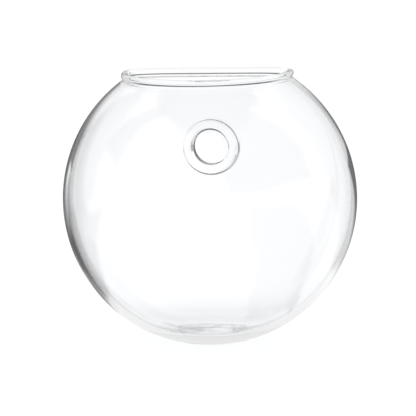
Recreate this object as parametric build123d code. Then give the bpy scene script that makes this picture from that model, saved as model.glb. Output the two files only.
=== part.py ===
from build123d import *
import os
from math import atan2, degrees, sqrt

# Propagation vase of clear blown glass that stands on a shelf or hangs on a wall.
# A blown ball is paddled flat behind, its mouth ends in a round bead, a thick collar lines
# the hanging hole high in the back, and a solid pad of glass makes the flat base.
# Lengths are millimetres. +X is to the right, +Y points at the wall behind, +Z is up.
# The origin lies under the middle of the vase, on the surface that it stands on.
# Every piece is drawn about the ball's centre first and moved to that origin at the end.

# Blown ball
ball_radius = 75.0  # outside
ball_wall = 2.4  # thickness of the glass

# Flat back
back_offset = 15.0  # from the ball's centre to the outside of the back
back_wall_thickness = 4.0
back_corner_radius = 12.0  # rounding from the ball to the back, outside
hollow_corner_radius = 9.0  # the same rounding, inside

# Mouth
mouth_radius = 44.0  # outside of the ball where the mouth is cut, half its width
mouth_corner_radius = 16.0  # of the D-shaped mouth, outside
neck_wall = 2.4
neck_height = 1.0  # from the cut to the underside of the bead
bead_diameter = 3.8

# Hanging hole
hole_rise = 25.0  # from the ball's centre up to the hole's centre
hole_radius = 9.0
collar_wall = 5.3
collar_depth = 10.0  # from the outside of the back to the collar's front lip
hole_edge_radius = 1.5  # rounding of the hole where it opens behind

# Base
base_radius = 19.0  # half the width of the flat that the vase stands on
base_thickness = 5.5

# Places that follow
hollow_radius = ball_radius - ball_wall
hollow_back = back_offset - back_wall_thickness
mouth_rise = sqrt(ball_radius**2 - mouth_radius**2)
mouth_wall = mouth_radius - sqrt(hollow_radius**2 - mouth_rise**2)
base_drop = sqrt(ball_radius**2 - base_radius**2)
floor_drop = base_drop - base_thickness
back_seam = back_offset - back_corner_radius
bead_radius = bead_diameter / 2
bead_rise = mouth_rise + neck_height + bead_radius


def flattened_ball(radius, back, corner):
    """Solid ball about the origin, flat behind at y = back, with a rounded edge there."""
    corner_y = back - corner
    corner_x = sqrt((radius - corner) ** 2 - corner_y**2)
    turn = degrees(atan2(corner_y, corner_x))
    with BuildPart() as ball:
        with BuildSketch(Plane.XY):
            with BuildLine():
                CenterArc((0, 0), radius, -90, 90 + turn)
                CenterArc((corner_x, corner_y), corner, turn, 90 - turn)
                Polyline((corner_x, back), (0, back), (0, -radius))
            make_face()
        revolve(axis=Axis.Y)
    return ball.part


def mouth_outline(inset):
    """Wire of the D-shaped mouth about the origin, moved inwards by inset."""
    back = back_offset - inset
    corner = mouth_corner_radius - inset
    corner_y = back_offset - mouth_corner_radius
    corner_x = sqrt((mouth_radius - mouth_corner_radius) ** 2 - corner_y**2)
    turn = degrees(atan2(corner_y, corner_x))
    with BuildLine() as outline:
        CenterArc((0, 0), mouth_radius - inset, 180 - turn, 180 + 2 * turn)
        CenterArc((corner_x, corner_y), corner, turn, 90 - turn)
        Line((corner_x, back), (-corner_x, back))
        CenterArc((-corner_x, corner_y), corner, 90, 90 - turn)
    return outline.wire()


def below(shape, height):
    """What of the shape lies under a level."""
    return split(shape, bisect_by=Plane.XY.offset(height), keep=Keep.BOTTOM)


def above(shape, height):
    """What of the shape lies over a level."""
    return split(shape, bisect_by=Plane.XY.offset(height), keep=Keep.TOP)


def glass_shell():
    """The blown wall from the top of the base pad to the mouth, with its thicker back."""
    ball = flattened_ball(ball_radius, back_offset, back_corner_radius)
    hollow = flattened_ball(hollow_radius, hollow_back, hollow_corner_radius)
    return above(below(ball - hollow, mouth_rise), -floor_drop)


def front_bowl(shell):
    """The round front and sides, as far back as the ball stays round."""
    seam = Plane(origin=(0, back_seam, 0), z_dir=(0, 1, 0))
    return split(shell, bisect_by=seam, keep=Keep.BOTTOM)


def back_wall(shell):
    """The flat back with its rounded edge, and a seat for the collar of the hole."""
    seam = Plane(origin=(0, back_seam, 0), z_dir=(0, 1, 0))
    back = split(shell, bisect_by=seam, keep=Keep.TOP)
    with BuildSketch(Plane.XZ.offset(-back_offset)) as seat:
        with Locations((0, hole_rise)):
            Circle(hole_radius + collar_wall)
    return back - extrude(seat.sketch, back_wall_thickness)


def base_pad():
    """The puddle of solid glass under the hollow, ground flat below."""
    ball = flattened_ball(ball_radius, back_offset, back_corner_radius)
    return above(below(ball, -floor_drop), -base_drop)


def mouth_rim():
    """The short neck round the mouth, and the round bead that finishes it."""
    middle = mouth_wall / 2
    with BuildPart() as rim:
        with BuildSketch(Plane.XY.offset(mouth_rise)):
            make_face(mouth_outline(middle - neck_wall / 2))
            make_face(mouth_outline(middle + neck_wall / 2), mode=Mode.SUBTRACT)
        extrude(amount=bead_rise - mouth_rise)
        path = Pos(0, 0, bead_rise) * mouth_outline(middle)
        with BuildSketch(Plane(origin=path @ 0, z_dir=path % 0)):
            Circle(bead_radius)
        sweep(path=path)
    return rim.part


def hanging_collar():
    """The thick collar that lines the hanging hole, with a half-round lip in front."""
    lip_radius = collar_wall / 2
    outer = hole_radius + collar_wall
    lip_y = back_offset - collar_depth + lip_radius
    with BuildPart() as collar:
        with BuildSketch(Plane.XY):
            with BuildLine():
                CenterArc((hole_radius + lip_radius, lip_y), lip_radius, 180, 180)
                Polyline(
                    (outer, lip_y),
                    (outer, back_offset),
                    (hole_radius + hole_edge_radius, back_offset),
                )
                CenterArc(
                    (hole_radius + hole_edge_radius, back_offset - hole_edge_radius),
                    hole_edge_radius,
                    90,
                    90,
                )
                Line((hole_radius, back_offset - hole_edge_radius), (hole_radius, lip_y))
            make_face()
        revolve(axis=Axis.Y)
    return Pos(0, 0, hole_rise) * collar.part


shell = glass_shell()
pieces = {
    "front_bowl": front_bowl(shell),
    "back_wall": back_wall(shell),
    "base_pad": base_pad(),
    "mouth_rim": mouth_rim(),
    "hanging_collar": hanging_collar(),
}

# From the ball's centre to the middle of the vase's depth, on the surface it stands on
to_origin = Pos(0, (ball_radius - back_offset) / 2, base_drop)
os.makedirs("parts", exist_ok=True)
for name, piece in pieces.items():
    export_step(to_origin * piece, f"parts/{name}.step")
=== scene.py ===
from math import atan2, cos, hypot, pi, radians, sin, sqrt

import bmesh
import bpy
from mathutils import Matrix, Vector


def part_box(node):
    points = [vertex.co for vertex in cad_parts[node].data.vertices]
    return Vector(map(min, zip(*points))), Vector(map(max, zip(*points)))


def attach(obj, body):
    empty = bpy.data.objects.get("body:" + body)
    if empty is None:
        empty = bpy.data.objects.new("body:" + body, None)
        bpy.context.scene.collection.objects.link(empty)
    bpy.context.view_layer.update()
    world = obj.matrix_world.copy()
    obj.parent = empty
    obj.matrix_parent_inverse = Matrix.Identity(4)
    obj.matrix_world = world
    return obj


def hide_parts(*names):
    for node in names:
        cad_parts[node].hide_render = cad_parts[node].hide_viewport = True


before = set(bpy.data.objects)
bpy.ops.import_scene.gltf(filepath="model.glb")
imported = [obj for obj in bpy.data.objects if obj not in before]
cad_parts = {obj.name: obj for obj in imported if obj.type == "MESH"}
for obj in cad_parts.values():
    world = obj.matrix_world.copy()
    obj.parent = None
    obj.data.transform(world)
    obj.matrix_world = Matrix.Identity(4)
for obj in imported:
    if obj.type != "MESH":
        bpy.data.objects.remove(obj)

bl_info = {
    "name": "Propagation vase",
    "version": (1, 0, 0),
    "blender": (4, 5, 0),
    "location": "3D View > Sidebar > Vase",
    "description": "Blows a flat-backed glass propagation vase and lights it on a white table",
    "category": "Add Mesh",
}

BODY = "root"
PHOTO_SIDE = 416  # pixels, the photo is square
SENSOR_WIDTH = 36  # of the camera, in millimetres
SLANT = Vector((1.0, 0.6, 0.3))  # a direction in which no two vertices lie equally far

# In metres
TOUCH = 0.00001  # how near to a plane a vertex lies to count as in it
BAND = 0.0012  # width of the narrow faces beside a rounding or a cut
SLIVER = 0.0006  # vertices of a cut rim that lie closer than this are merged

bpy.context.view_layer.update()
BOWL_LOW, BOWL_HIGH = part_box("front_bowl")
_, BACK_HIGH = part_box("back_wall")
_, PAD_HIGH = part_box("base_pad")
_, RIM_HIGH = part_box("mouth_rim")
COLLAR_LOW, COLLAR_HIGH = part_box("hanging_collar")


def tidy(metres):
    """A length read from the frame, to a hundredth of a millimetre."""
    return round(metres, 5)


class VaseSizes(bpy.types.PropertyGroup):
    """Sizes of the glass. What the frame knows comes from there."""

    ball_radius: bpy.props.FloatProperty(
        name="Ball radius", description="Outside of the blown ball",
        default=tidy((BOWL_HIGH.x - BOWL_LOW.x) / 2), unit="LENGTH")
    ball_wall: bpy.props.FloatProperty(
        name="Ball wall", description="Thickness of the blown front and sides",
        default=0.0024, unit="LENGTH")
    back_wall: bpy.props.FloatProperty(
        name="Back wall", description="Thickness of the flat back",
        default=0.004, unit="LENGTH")
    back_round: bpy.props.FloatProperty(
        name="Back rounding", description="From the ball to the flat back, outside",
        default=0.012, unit="LENGTH")
    hollow_round: bpy.props.FloatProperty(
        name="Hollow rounding", description="The same rounding, inside",
        default=0.009, unit="LENGTH")
    base_radius: bpy.props.FloatProperty(
        name="Base radius", description="Half the width of the flat that the vase stands on",
        default=0.019, unit="LENGTH")
    base_edge: bpy.props.FloatProperty(
        name="Base edge", description="Softening of the edge round the ground base",
        default=0.0003, unit="LENGTH")
    floor_reach: bpy.props.FloatProperty(
        name="Floor reach", description="How far from its middle the pooled floor runs up the wall",
        default=0.04, unit="LENGTH")
    bead_radius: bpy.props.FloatProperty(
        name="Bead radius", description="Of the round bead at the mouth",
        default=0.0019, unit="LENGTH")
    hole_radius: bpy.props.FloatProperty(
        name="Hole radius", description="Of the hanging hole",
        default=0.009, unit="LENGTH")
    hole_edge: bpy.props.FloatProperty(
        name="Hole edge", description="Rounding where the hole opens behind",
        default=0.0015, unit="LENGTH")
    collar_foot: bpy.props.FloatProperty(
        name="Collar foot", description="Rounding where the collar rises from the back",
        default=0.001, unit="LENGTH")
    facets: bpy.props.IntProperty(
        name="Facets", description="Steps once round the ball", default=192)


class VaseLook(bpy.types.PropertyGroup):
    """Colour and surface of the glass."""

    tint: bpy.props.FloatVectorProperty(
        name="Tint", description="Colour of the glass", size=4,
        default=(0.985, 0.99, 1.0, 1.0), subtype="COLOR")
    wave_height: bpy.props.FloatProperty(
        name="Wave height", description="Of the faint waves in the blown surface",
        default=0.0002, unit="LENGTH")
    ground_haze: bpy.props.FloatProperty(
        name="Ground haze", description="Share of white in the ground underside",
        default=0.4, subtype="FACTOR")


class VaseView(bpy.types.PropertyGroup):
    """Where the camera stands, and how much it sees."""

    azimuth: bpy.props.FloatProperty(
        name="Azimuth", description="Turn of the camera to the right of the vase's front",
        default=radians(7.5), subtype="ANGLE")
    elevation: bpy.props.FloatProperty(
        name="Elevation", description="Height of the camera over the level of the vase",
        default=radians(9.4), subtype="ANGLE")
    roll: bpy.props.FloatProperty(
        name="Roll", description="Turn of the picture, anticlockwise", default=radians(1.3),
        subtype="ANGLE")
    distance: bpy.props.FloatProperty(
        name="Distance", description="From the camera to the vase", default=1.4, unit="LENGTH")
    ball_width: bpy.props.FloatProperty(
        name="Ball width", description="Pixels of the photo across the ball", default=294)
    ball_column: bpy.props.FloatProperty(
        name="Ball column", description="Pixel column of the ball's centre", default=210)
    ball_row: bpy.props.FloatProperty(
        name="Ball row", description="Pixel row of the ball's centre", default=198)


class Wire:
    """An output of a shader node, on which sums are written as on a number."""

    def __init__(self, tree, node, socket):
        self.tree = tree
        self.node = node
        self.socket = socket

    def out(self, name):
        """Another output of the same node."""
        return Wire(self.tree, self.node, self.node.outputs[name])

    def maths(self, operation, *values):
        """The result of a Math node on some values."""
        return self.tree.add("ShaderNodeMath", {"operation": operation}, *values)

    def size(self):
        """The value without its sign."""
        return self.maths("ABSOLUTE", self)

    def __add__(self, other):
        return self.maths("ADD", self, other)

    def __radd__(self, other):
        return self.maths("ADD", other, self)

    def __sub__(self, other):
        return self.maths("SUBTRACT", self, other)

    def __rsub__(self, other):
        return self.maths("SUBTRACT", other, self)

    def __mul__(self, other):
        return self.maths("MULTIPLY", self, other)

    def __rmul__(self, other):
        return self.maths("MULTIPLY", other, self)

    def __rtruediv__(self, other):
        return self.maths("DIVIDE", other, self)

    def __neg__(self):
        return self.maths("MULTIPLY", self, -1.0)

    def __gt__(self, other):
        return self.maths("GREATER_THAN", self, other)


class Tree:
    """The nodes of one material, or of the world."""

    def __init__(self, owner):
        owner.use_nodes = True
        self.tree = owner.node_tree
        self.tree.nodes.clear()

    def add(self, kind, settings=None, *values, **named):
        """A node of a kind. Its settings come first, then what its sockets hold, in order or by name
        with _ for a space. A value may be a Wire, which is linked."""
        node = self.tree.nodes.new(kind)
        for name, setting in (settings or {}).items():
            setattr(node, name, setting)
        sockets = list(zip(node.inputs, values))
        sockets += [(node.inputs[name.replace("_", " ")], value) for name, value in named.items()]
        for socket, value in sockets:
            if isinstance(value, Wire):
                self.tree.links.new(value.socket, socket)
            else:
                socket.default_value = value
        return Wire(self, node, node.outputs[0] if node.outputs else None)

    def rise(self, value, edge):
        """0 up to where an edge starts, 1 from where it ends, and a smooth rise between them."""
        settings = {"interpolation_type": "SMOOTHSTEP"}
        return self.add("ShaderNodeMapRange", settings, value, *edge, 0.0, 1.0)

    def fall(self, value, edge):
        """1 up to where an edge starts, 0 from where it ends, and a smooth fall between them."""
        return 1 - self.rise(value, edge)

    def vector(self, operation, *values):
        """A Vector Math node."""
        return self.add("ShaderNodeVectorMath", {"operation": operation}, *values)

    def parts(self, vector):
        """The three parts of a vector."""
        split = self.add("ShaderNodeSeparateXYZ", None, vector)
        return split.out("X"), split.out("Y"), split.out("Z")

    def mix_shader(self, factor, first, second):
        """The first shader at a factor of 0, the second at 1."""
        return self.add("ShaderNodeMixShader", None, factor, first, second)


def grey(level):
    """A colour that is the same in red, green and blue."""
    return (level, level, level, 1)


def angles(start, end):
    """An edge that is given in degrees."""
    return radians(start), radians(end)


def deselect_all():
    """Leaves nothing selected, in object mode."""
    if bpy.context.object and bpy.context.object.mode != "OBJECT":
        bpy.ops.object.mode_set(mode="OBJECT")
    bpy.ops.object.select_all(action="DESELECT")


def edit(piece):
    """Opens one piece in edit mode, with nothing in it selected."""
    deselect_all()
    bpy.context.view_layer.objects.active = piece
    piece.select_set(True)
    bpy.ops.object.mode_set(mode="EDIT")
    bpy.ops.mesh.select_all(action="DESELECT")


def join(piece, other):
    """Makes another object part of a piece."""
    deselect_all()
    other.select_set(True)
    piece.select_set(True)
    bpy.context.view_layer.objects.active = piece
    bpy.ops.object.join()


def select(piece, kind, test):
    """In edit mode, selects just the vertices, edges or faces that pass a test."""
    bpy.ops.mesh.select_all(action="DESELECT")
    bpy.ops.mesh.select_mode(type=kind)
    mesh = bmesh.from_edit_mesh(piece.data)
    items = {"VERT": mesh.verts, "EDGE": mesh.edges, "FACE": mesh.faces}[kind]
    for item in items:
        item.select_set(bool(test(item)))
    mesh.select_flush_mode()
    bmesh.update_edit_mesh(piece.data)


def rim_at(axis, level):
    """A test for an edge on an open rim that lies in a plane across an axis."""
    def test(edge):
        is_open = edge.is_boundary or edge.is_wire
        return is_open and all(abs(vertex.co[axis] - level) < TOUCH for vertex in edge.verts)
    return test


def start_profile(name, place):
    """A new piece in edit mode: one selected vertex, from which a profile is drawn."""
    deselect_all()
    bpy.ops.mesh.primitive_circle_add(vertices=3, radius=0.001)
    piece = bpy.context.object
    piece.name = name
    bpy.ops.object.mode_set(mode="EDIT")
    bpy.ops.mesh.select_mode(type="VERT")
    bpy.ops.mesh.select_all(action="SELECT")
    bpy.ops.mesh.merge(type="CENTER")
    bpy.ops.transform.translate(value=(*place, 0))
    return piece


def draw_arc(centre, angle, steps):
    """Draws on from the selected vertex round a centre, anticlockwise as seen from +Z."""
    bpy.ops.mesh.spin(steps=steps, angle=-angle, center=(*centre, 0), axis=(0, 0, 1))


def draw_line(x, y, steps=1):
    """Draws on from the selected vertex in a straight line."""
    for _ in range(steps):
        bpy.ops.mesh.extrude_vertices_move(
            TRANSFORM_OT_translate={"value": (x / steps, y / steps, 0)})


def turn_profile(steps):
    """Turns the drawn profile once round the Y axis and closes its seam."""
    bpy.ops.mesh.select_all(action="SELECT")
    bpy.ops.mesh.spin(steps=steps, angle=2 * pi, center=(0, 0, 0), axis=(0, 1, 0))
    bpy.ops.mesh.select_all(action="SELECT")
    bpy.ops.mesh.remove_doubles(threshold=TOUCH / 10)


def blow_pan(name, radius, back, corner, facets):
    """An open skin about the ball's centre: a ball, rounded over to the rim of a flat back."""
    corner_y = back - corner
    corner_x = sqrt((radius - corner) ** 2 - corner_y ** 2)
    turn = atan2(corner_y, corner_x)
    ball_steps, corner_steps = facets // 3, facets // 10
    pan = start_profile(name, (0, -radius))
    draw_arc((0, 0), pi / 2 + turn, ball_steps)
    draw_arc((corner_x, corner_y), pi / 2 - turn, corner_steps)
    draw_line(-BAND, 0)
    turn_profile(facets)
    return pan


def draw_collar(sizes, back, hollow_back, wall, depth):
    """The skin of the thick collar, from its hole behind over the lip to the inside."""
    hole, edge, foot = sizes.hole_radius, sizes.hole_edge, sizes.collar_foot
    corner_steps, lip_steps = 6, 16
    lip = wall / 2
    lip_y = back - depth + lip
    collar = start_profile("collar", (hole + edge + BAND, back))
    draw_line(-BAND, 0)
    draw_arc((hole + edge, back - edge), pi / 2, corner_steps)
    draw_line(0, lip_y - back + edge, steps=3)
    draw_arc((hole + lip, lip_y), pi, lip_steps)
    draw_line(0, hollow_back - foot - lip_y, steps=2)
    draw_arc((hole + wall + foot, hollow_back - foot), -pi / 2, corner_steps)
    draw_line(BAND, 0)
    turn_profile(sizes.facets)
    return collar


def draw_ring(radius, y, facets):
    """A bare ring of edges round the Y axis."""
    ring = start_profile("ring", (radius, y))
    turn_profile(facets)
    return ring


def lift(piece, height):
    """Moves a piece's whole mesh up."""
    edit(piece)
    bpy.ops.mesh.select_all(action="SELECT")
    bpy.ops.transform.translate(value=(0, 0, height))


def cut(piece, level, keep, fill=False):
    """Cuts a whole piece at a level and keeps what is above, below, or both. A fill leaves the new
    face selected."""
    edit(piece)
    bpy.ops.mesh.select_all(action="SELECT")
    bpy.ops.mesh.bisect(
        plane_co=(0, 0, level), plane_no=(0, 0, 1), use_fill=fill,
        clear_inner=keep == "above", clear_outer=keep == "below", threshold=TOUCH / 10)


def close_back(piece, level):
    """Bridges the rim of a flat back to the ring round the hanging hole in it."""
    edit(piece)
    select(piece, "EDGE", rim_at(1, level))
    bpy.ops.mesh.bridge_edge_loops()


def cut_mouth(piece, level):
    """Cuts the mouth open at a level. A cut just below it first keeps the faces there short."""
    cut(piece, level - BAND, keep="both")
    cut(piece, level, keep="below")


def put_in_order(piece):
    """In edit mode, sorts a mesh by place. A cut leaves it in another order at each run, and a merge
    goes by that order."""
    mesh = bmesh.from_edit_mesh(piece.data)
    mesh.verts.sort(key=lambda vertex: vertex.co.dot(SLANT))
    mesh.edges.sort(key=lambda edge: (edge.verts[0].co + edge.verts[1].co).dot(SLANT))
    mesh.faces.sort(key=lambda face: face.calc_center_median().dot(SLANT))
    bmesh.update_edit_mesh(piece.data)


def even_rim(piece, level):
    """Selects the cut rim at a level and merges the vertices that the cut left close together."""
    put_in_order(piece)
    select(piece, "EDGE", rim_at(2, level))
    bpy.ops.mesh.remove_doubles(threshold=SLIVER)
    select(piece, "EDGE", rim_at(2, level))


def raise_rim(inset, rise):
    """Extrudes the selected rim of the mouth by one step, up and towards the middle."""
    bpy.ops.mesh.extrude_edges_move(TRANSFORM_OT_translate={"value": (0, 0, rise)})
    # The new faces look outwards on the way up, and towards the middle on the way down
    sign = -1 if rise > 0 else 1
    bpy.ops.transform.shrink_fatten(value=sign * inset)


def mouth_path(bead, top):
    """Places (inset, height) of the glass from the cut shoulder over the bead to the inside,
    counted from the cut, in metres."""
    bead_inset = 0.00238
    bead_height = top - bead
    first_angle, angle_step = radians(225), radians(22.5)
    shoulder = [(0.0, 0.0), (0.0006, 0.00045), (0.00095, 0.0008), (0.0011, 0.0012)]
    inside = [(0.00372, 0.0013), (0.00372, 0.0005), (0.00366, -0.0001), (0.00345, -0.00045)]
    round_bead = []
    for step in range(13):
        angle = first_angle - angle_step * step
        round_bead.append((bead_inset + bead * cos(angle), bead_height + bead * sin(angle)))
    return shoulder + round_bead + inside


def roll_bead(outer, level, bead, top):
    """Draws the neck and the round bead up from the mouth that is cut in the outer skin."""
    edit(outer)
    even_rim(outer, level)
    path = mouth_path(bead, top)
    for (inset, height), (next_inset, next_height) in zip(path, path[1:]):
        raise_rim(next_inset - inset, next_height - height)


def grind_base(outer, level, edge):
    """Cuts the ball flat below, softens the edge there and rims the flat with a narrow face."""
    cut(outer, level, keep="above", fill=True)
    bpy.ops.mesh.bevel(offset=edge, segments=3, affect="EDGES")
    select(outer, "FACE", lambda face: face.calc_center_median().z < level + TOUCH)
    bpy.ops.mesh.inset(thickness=edge)


def pool_floor(hollow, floor, reach):
    """Lifts the bottom of the hollow softly up to the level of the inside floor."""
    edit(hollow)
    lowest = min(vertex.co.z for vertex in hollow.data.vertices)
    select(hollow, "VERT", lambda vertex: vertex.co.z < lowest + TOUCH and abs(vertex.co.x) < TOUCH)
    bpy.ops.transform.translate(
        value=(0, 0, floor - lowest), use_proportional_edit=True,
        proportional_edit_falloff="SMOOTH", proportional_size=reach)


def seal(outer, hollow):
    """Joins the hollow to the outer skin at the neck, as one closed skin that faces outwards."""
    join(outer, hollow)
    edit(outer)
    bpy.ops.mesh.select_all(action="SELECT")
    bpy.ops.mesh.remove_doubles(threshold=TOUCH / 5)
    select(outer, "EDGE", lambda edge: edge.is_boundary)
    bpy.ops.mesh.bridge_edge_loops()
    bpy.ops.mesh.select_all(action="SELECT")
    bpy.ops.mesh.normals_make_consistent(inside=False)


def give_finish(piece, index, test):
    """Gives the faces that pass a test the finish in a slot of the piece."""
    edit(piece)
    select(piece, "FACE", test)
    piece.active_material_index = index
    bpy.ops.object.material_slot_assign()


def ball_centre(sizes):
    """Where the ball's centre lies in the frame."""
    height = sqrt(sizes.ball_radius ** 2 - sizes.base_radius ** 2)
    return Vector((0, tidy(BOWL_LOW.y) + sizes.ball_radius, height))


def blow_vase(sizes):
    """The whole vase as one closed skin, drawn about the ball's centre and moved to its place."""
    centre = ball_centre(sizes)
    back = tidy(BACK_HIGH.y) - centre.y
    hollow_back = back - sizes.back_wall
    wall = tidy((COLLAR_HIGH.x - COLLAR_LOW.x) / 2) - sizes.hole_radius
    depth = tidy(COLLAR_HIGH.y - COLLAR_LOW.y)
    hole_rise = tidy((COLLAR_LOW.z + COLLAR_HIGH.z) / 2) - centre.z
    neck_start, hollow_start = 0.0002, 0.001  # below the top of the bowl
    mouth_cut = BOWL_HIGH.z - centre.z - neck_start
    hollow_cut = BOWL_HIGH.z - centre.z - hollow_start

    outer = blow_pan("outer", sizes.ball_radius, back, sizes.back_round, sizes.facets)
    collar = draw_collar(sizes, back, hollow_back, wall, depth)
    lift(collar, hole_rise)
    join(outer, collar)
    close_back(outer, back)
    grind_base(outer, -centre.z, sizes.base_edge)
    cut_mouth(outer, mouth_cut)

    hollow_radius = sizes.ball_radius - sizes.ball_wall
    hollow = blow_pan("hollow", hollow_radius, hollow_back, sizes.hollow_round, sizes.facets)
    ring_radius = sizes.hole_radius + wall + sizes.collar_foot + BAND
    ring = draw_ring(ring_radius, hollow_back, sizes.facets)
    lift(ring, hole_rise)
    join(hollow, ring)
    close_back(hollow, hollow_back)
    pool_floor(hollow, PAD_HIGH.z - centre.z, sizes.floor_reach)
    cut_mouth(hollow, hollow_cut)
    even_rim(hollow, hollow_cut)

    roll_bead(outer, mouth_cut, sizes.bead_radius, RIM_HIGH.z - centre.z - mouth_cut)
    seal(outer, hollow)
    bpy.ops.transform.translate(value=centre)
    deselect_all()
    outer.select_set(True)
    bpy.ops.object.shade_smooth()
    outer.name = "vase_glass"
    return outer


def glass_finish(name, look, haze, paint_glow):
    """Clear glass with faint waves, and a haze of white where it is ground. Light that leaves the
    table passes it as through a plain veil, which keeps the shadow under the vase soft. Thick glass
    would mirror some rays on and on until the renderer drops them. The last argument says where
    mirrored rays end instead in a glow painted into the glass, and how bright it is: painted light
    and painted reflection, not the glass's own colour."""
    material = bpy.data.materials.new(name)
    tree = Tree(material)
    place = tree.add("ShaderNodeTexCoord").out("Object")
    waves = tree.add("ShaderNodeTexNoise", None, place, Scale=22.0, Detail=1.0, Roughness=0.4)
    bump = tree.add(
        "ShaderNodeBump", None, Strength=1.0, Distance=look.wave_height, Height=waves)
    clear = tree.add(
        "ShaderNodeBsdfPrincipled", None, Base_Color=look.tint, Roughness=0.0, IOR=1.5,
        Transmission_Weight=1.0, Normal=bump)
    white = tree.add("ShaderNodeBsdfDiffuse", None, grey(0.95))
    path = tree.add("ShaderNodeLightPath")
    glow_mask, brightness = paint_glow(tree, tree.parts(place), path.out("Glossy Depth"))
    # A glow painted into the glass: an emission that stands in for light and reflections
    painted_glow = tree.add("ShaderNodeEmission", None, brightness, 1.0)
    veil = tree.add("ShaderNodeBsdfTransparent", None, (0.975, 0.978, 0.98, 1))
    table_light = path.maths("MAXIMUM", path.out("Is Shadow Ray"), path.out("Is Diffuse Ray"))
    shown = tree.mix_shader(glow_mask, tree.mix_shader(haze, clear, white), painted_glow)
    tree.add("ShaderNodeOutputMaterial", None, tree.mix_shader(table_light, shown, veil))
    return material


def painted_glow_at_foot(tree, place, depth):
    """Rays mirrored three times end in a painted pale glow, but only in the thick glass at the foot.
    """
    foot_top = (0.022, 0.042)  # heights between which that stops
    # brightness of the painted glow at the foot
    foot_glow = 0.75
    _, _, height = place
    return (depth > 2.5) * tree.fall(height, foot_top), grey(foot_glow)


def painted_glow_in_bead(tree, place, depth):
    """Rays mirrored once in the rim, or twice in the collar, end in a grey glow painted into the
    glass.
    The glow is dark in the far stretch of the rim, a painted dark reflection, and pale at the rim's
    two ends."""
    rim_start = (0.118, 0.122)  # in height
    end_start = (0.030, 0.038)  # from the middle, across the vase
    far_start = (0.028, 0.034)  # towards the back
    # brightness of the painted glow, and how much darker it is painted in the rim and its far stretch
    collar_light, end_light, rim_dark, far_dark = 0.55, 0.2, 0.2, 0.33
    x, y, height = place
    rim = tree.rise(height, rim_start)
    ends = tree.rise(x.size(), end_start)
    far = rim * tree.rise(y, far_start)
    dark = (rim_dark * rim + far_dark * far) * (1 - ends)
    return depth > 1.5 - rim, collar_light + end_light * ends - dark


def finish_vase(piece, look):
    """Blown glass all over, fire polished at the rim and the collar, and ground below."""
    # Each finish also paints a glow into the glass where mirrored rays end: pale at the foot, grey at
    # the rim and collar
    finishes = (
        ("blown_glass", 0.0, painted_glow_at_foot),
        ("fire_polished_glass", 0.0, painted_glow_in_bead),
        ("ground_glass", look.ground_haze, painted_glow_at_foot),
    )
    for name, haze, paint_glow in finishes:
        piece.data.materials.append(glass_finish(name, look, haze, paint_glow))
    hole_height = (COLLAR_LOW.z + COLLAR_HIGH.z) / 2
    collar_radius = (COLLAR_HIGH.x - COLLAR_LOW.x) / 2

    def is_polished(face):
        place = face.calc_center_median()
        from_hole = hypot(place.x, place.z - hole_height)
        in_collar = place.y > COLLAR_LOW.y - TOUCH and from_hole < collar_radius
        return place.z > BOWL_HIGH.z or in_collar

    give_finish(piece, 1, is_polished)
    give_finish(piece, 2, lambda face: face.calc_center_median().z < TOUCH)


class Room:
    """A white surround that only the glass shows, by direction from the vase. The glass mirrors grey
    cards in it, and through the glass it has dark parts. Straight to the camera all is plain."""

    white = 1.05
    # Azimuth, elevation, half width, half height and soft edge in degrees, then how dark the card is.
    # The azimuth counts anticlockwise from the front of the vase, as seen from above.
    cards = (
        (60, 44, 36, 32, 4, 0.6),
        (58, -27, 20, 25, 4, 0.5),
        (-118, 0, 16, 40, 10, 0.5),
        (-90, 46, 8, 22, 6, 0.7),
        (-106, -24, 20, 14, 8, 0.7),
        (146, 5, 24, 32, 10, 0.3),
        (0, 90, 200, 26, 6, 0.9),
    )
    rear_dark = 0.75  # of the grey sheets behind the vase
    raggedness = radians(24)  # of the edges of the cards

    def __init__(self, tree, direction):
        x, y, z = tree.parts(direction)
        self.tree = tree
        self.azimuth = x.maths("ARCTAN2", x, -y)
        self.elevation = z.maths("ARCSINE", z)
        ragged = tree.add("ShaderNodeTexNoise", None, direction, Scale=3.0, Detail=5.0, Roughness=0.6)
        self.wander = (ragged - 0.5) * self.raggedness

    def turn_from(self, azimuth):
        """How far a direction lies anticlockwise of an azimuth, as seen from above, in radians."""
        return self.azimuth.maths("WRAP", self.azimuth - azimuth, pi, -pi)

    def card(self, azimuth, elevation, half_width, half_height, soft):
        """1 on a card that hangs in a direction, and 0 beside it. Angles are in degrees."""
        across = self.turn_from(radians(azimuth)).size() + self.wander
        along = (self.elevation - radians(elevation)).size() + self.wander
        side = self.tree.fall(across, angles(half_width, half_width + soft))
        return side * self.tree.fall(along, angles(half_height, half_height + soft))

    def behind(self, depth, shift=0.0):
        """Brightness of what shows straight through the glass: white towards four sides and dark
        between them, by a depth, with a pale band first. A shift widens the white sides, in
        radians."""
        band_start, band_end, band_dark = angles(10, 14), angles(16, 19), 0.14
        dark_start = angles(21, 27)
        tree = self.tree
        from_side = self.azimuth.maths("WRAP", self.azimuth, pi / 4, -pi / 4)
        turn = from_side.size() - shift
        band = tree.rise(turn, band_start) * tree.fall(turn, band_end)
        return self.white - band_dark * band - depth * tree.rise(turn, dark_start)

    def mirrored(self, rear):
        """Brightness of what shows in the glass as a reflection. Rear is 1 where a grey sheet lies or
        stands behind the vase."""
        level = self.white * (1 - self.rear_dark * rear)
        for *place, dark in self.cards:
            level = level * (1 - dark * self.card(*place))
        return level

    def seen(self, behind, rear):
        """Brightness by the kind of ray: a reflection once any surface has mirrored it."""
        turned = self.tree.add("ShaderNodeLightPath").out("Glossy Depth") > 0.5
        return behind * (1 - turned) + self.mirrored(rear) * turned


def glass_ray(tree):
    """1 for a ray that comes from glass, else 0."""
    path = tree.add("ShaderNodeLightPath")
    return path.maths("MAXIMUM", path.out("Is Glossy Ray"), path.out("Is Transmission Ray"))


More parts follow.
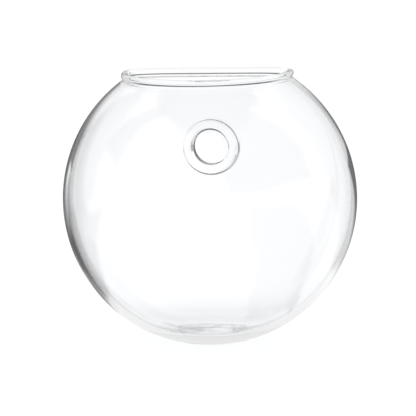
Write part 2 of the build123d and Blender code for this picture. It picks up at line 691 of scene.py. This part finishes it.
def table_finish(centre):
    """A matt white table. Through the glass it shows a dark surround beyond a round white sheet, and
    a faint strip behind the vase. The glass mirrors a grey sheet behind the vase, and shows a faint
    shade under it either way. Lengths are metres from under the ball's centre, and each pair is a
    soft edge."""
    sheet_middle, sheet_edge = (0.12, -0.12, 0), (0.53, 0.63)
    grey_start, grey_left, grey_right = (0.19, 0.36), (-0.12, -0.05), (-0.02, 0.05)
    start_lean, left_lean, right_lean = 1.1, 0.6, 0.5
    strip_left, strip_right, strip_start = (0.028, 0.036), (0.038, 0.046), (0.05, 0.1)
    strip_dark = 0.08
    shade_edge, shade_dark = (0.03, 0.12), 0.13
    surround_dark = 0.7
    vase_half = 0.065  # half the width of the vase, which widens the white sides near it

    material = bpy.data.materials.new("white_table")
    tree = Tree(material)
    place = tree.add("ShaderNodeNewGeometry").out("Position")
    away = tree.vector("SUBTRACT", place, centre)
    room = Room(tree, tree.vector("NORMALIZE", away))
    flat = tree.vector("MULTIPLY", away, (1, 1, 0))
    x, y, _ = tree.parts(flat)
    reach = tree.vector("LENGTH", flat).out("Value")
    from_sheet = tree.vector("DISTANCE", flat, sheet_middle).out("Value")
    surround = room.white - room.behind(surround_dark, vase_half / reach)
    surround = surround * tree.rise(from_sheet, sheet_edge)
    strip = tree.rise(x, strip_left) * tree.fall(x, strip_right) * tree.rise(y, strip_start)
    rear = tree.rise(y + start_lean * x.size(), grey_start)
    rear = rear * tree.rise(x + left_lean * y, grey_left)
    rear = rear * tree.rise(right_lean * y - x, grey_right)
    seen = room.seen(room.white - surround - strip_dark * strip, rear)
    seen = seen * (1 - shade_dark * tree.fall(reach, shade_edge))
    card = tree.add("ShaderNodeEmission", None, grey(1), seen)
    matt = tree.add("ShaderNodeBsdfDiffuse", None, grey(0.8))
    fill = tree.add("ShaderNodeEmission", None, grey(1), 0.25)
    shown = tree.add("ShaderNodeAddShader", None, matt, fill)
    tree.add("ShaderNodeOutputMaterial", None, tree.mix_shader(glass_ray(tree), shown, card))
    return material


def light_room(view):
    """A white surround that lights the table evenly. Through the glass it is dark high up behind the
    vase, and the glass mirrors two grey sheets behind the vase, one low and one taller. Each pair is
    a soft edge in degrees: a height, or a turn to the left of straight behind the vase, as the
    camera sees it."""
    low_right, low_top = angles(-24, -16), angles(2, 6)
    tall_right, tall_top, tall_lean = angles(2, 5), angles(4, 16), 0.8
    sheets_left = angles(30, 36)
    high_start, high_sides, high_dark = angles(10, 17), angles(35, 50), 0.86
    side_dark = 0.35

    world = bpy.data.worlds.new("white_surround")
    bpy.context.scene.world = world
    tree = Tree(world)
    room = Room(tree, tree.add("ShaderNodeTexCoord").out("Generated"))
    turn, elevation = room.turn_from(view.azimuth + pi), room.elevation
    low = tree.rise(turn, low_right) * tree.fall(elevation, low_top)
    tall = tree.rise(turn - tall_lean * elevation, tall_right) * tree.fall(elevation, tall_top)
    rear = tall.maths("MAXIMUM", tall, low) * tree.fall(turn, sheets_left)
    high = tree.rise(elevation, high_start) * tree.fall(turn.size(), high_sides)
    seen = room.seen(room.behind(side_dark) * (1 - high_dark * high), rear)
    card = tree.add("ShaderNodeBackground", None, grey(1), seen)
    plain = tree.add("ShaderNodeBackground", None, grey(1), 1.0)
    tree.add("ShaderNodeOutputWorld", None, tree.mix_shader(glass_ray(tree), plain, card))


def lay_table(centre):
    """A wide round table, a little below the vase."""
    gap = 0.0002
    deselect_all()
    bpy.ops.mesh.primitive_circle_add(
        vertices=96, radius=4.0, fill_type="NGON", location=(0, 0, -gap))
    bpy.ops.object.transform_apply(location=True)
    table = bpy.context.object
    table.name = "table"
    table.data.materials.append(table_finish(centre))


def aim_camera(view, centre, radius):
    """Places the camera so that the ball falls where it does in the photo."""
    back = Vector((sin(view.azimuth) * cos(view.elevation),
                   -cos(view.azimuth) * cos(view.elevation),
                   sin(view.elevation)))
    level = Vector((cos(view.azimuth), sin(view.azimuth), 0))
    right = level * cos(view.roll) - back.cross(level) * sin(view.roll)
    up = back.cross(right)
    metres_per_pixel = 2 * radius / view.ball_width
    middle = PHOTO_SIDE / 2
    aim = (centre - right * (view.ball_column - middle) * metres_per_pixel
           + up * (view.ball_row - middle) * metres_per_pixel)
    bpy.ops.object.camera_add(location=aim + back * view.distance)
    camera = bpy.context.object
    camera.rotation_euler = Matrix((right, up, back)).transposed().to_euler()
    camera.data.sensor_width = SENSOR_WIDTH
    camera.data.lens = SENSOR_WIDTH * view.distance / (PHOTO_SIDE * metres_per_pixel)
    camera.data.clip_start = 0.05
    camera.data.clip_end = 20
    bpy.context.scene.camera = camera


class VASE_OT_blow_glass(bpy.types.Operator):
    """Blows the vase in one piece of clear glass"""

    bl_idname = "vase.blow_glass"
    bl_label = "Blow the glass"

    def execute(self, context):
        piece = blow_vase(context.scene.vase_sizes)
        finish_vase(piece, context.scene.vase_look)
        deselect_all()
        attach(piece, BODY)
        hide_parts("front_bowl", "back_wall", "base_pad", "mouth_rim", "hanging_collar")
        return {"FINISHED"}


class VASE_OT_set_stage(bpy.types.Operator):
    """Lays the white table, lights it and aims the camera"""

    bl_idname = "vase.set_stage"
    bl_label = "Set the stage"

    def execute(self, context):
        sizes, view = context.scene.vase_sizes, context.scene.vase_view
        centre = ball_centre(sizes)
        lay_table(centre)
        light_room(view)
        aim_camera(view, centre, sizes.ball_radius)
        context.scene.view_settings.view_transform = "Standard"
        return {"FINISHED"}


class VASE_PT_maker(bpy.types.Panel):
    """Sizes and look of the vase, and the steps that make it"""

    bl_label = "Propagation vase"
    bl_idname = "VASE_PT_maker"
    bl_space_type = "VIEW_3D"
    bl_region_type = "UI"
    bl_category = "Vase"

    def draw(self, context):
        layout = self.layout
        for group in GROUPS:
            column = layout.column()
            for name in GROUPS[group].__annotations__:
                column.prop(getattr(context.scene, group), name)
        for operator in OPERATORS:
            layout.operator(operator.bl_idname)


GROUPS = {"vase_sizes": VaseSizes, "vase_look": VaseLook, "vase_view": VaseView}
OPERATORS = (VASE_OT_blow_glass, VASE_OT_set_stage)


def register():
    for kind in (*GROUPS.values(), *OPERATORS, VASE_PT_maker):
        bpy.utils.register_class(kind)
    for name, group in GROUPS.items():
        setattr(bpy.types.Scene, name, bpy.props.PointerProperty(type=group))


def unregister():
    for name in GROUPS:
        delattr(bpy.types.Scene, name)
    for kind in (VASE_PT_maker, *reversed(OPERATORS), *reversed(GROUPS.values())):
        bpy.utils.unregister_class(kind)


def main():
    """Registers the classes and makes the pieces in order."""
    register()
    bpy.ops.vase.blow_glass()
    bpy.ops.vase.set_stage()


if __name__ == "__main__":
    main()
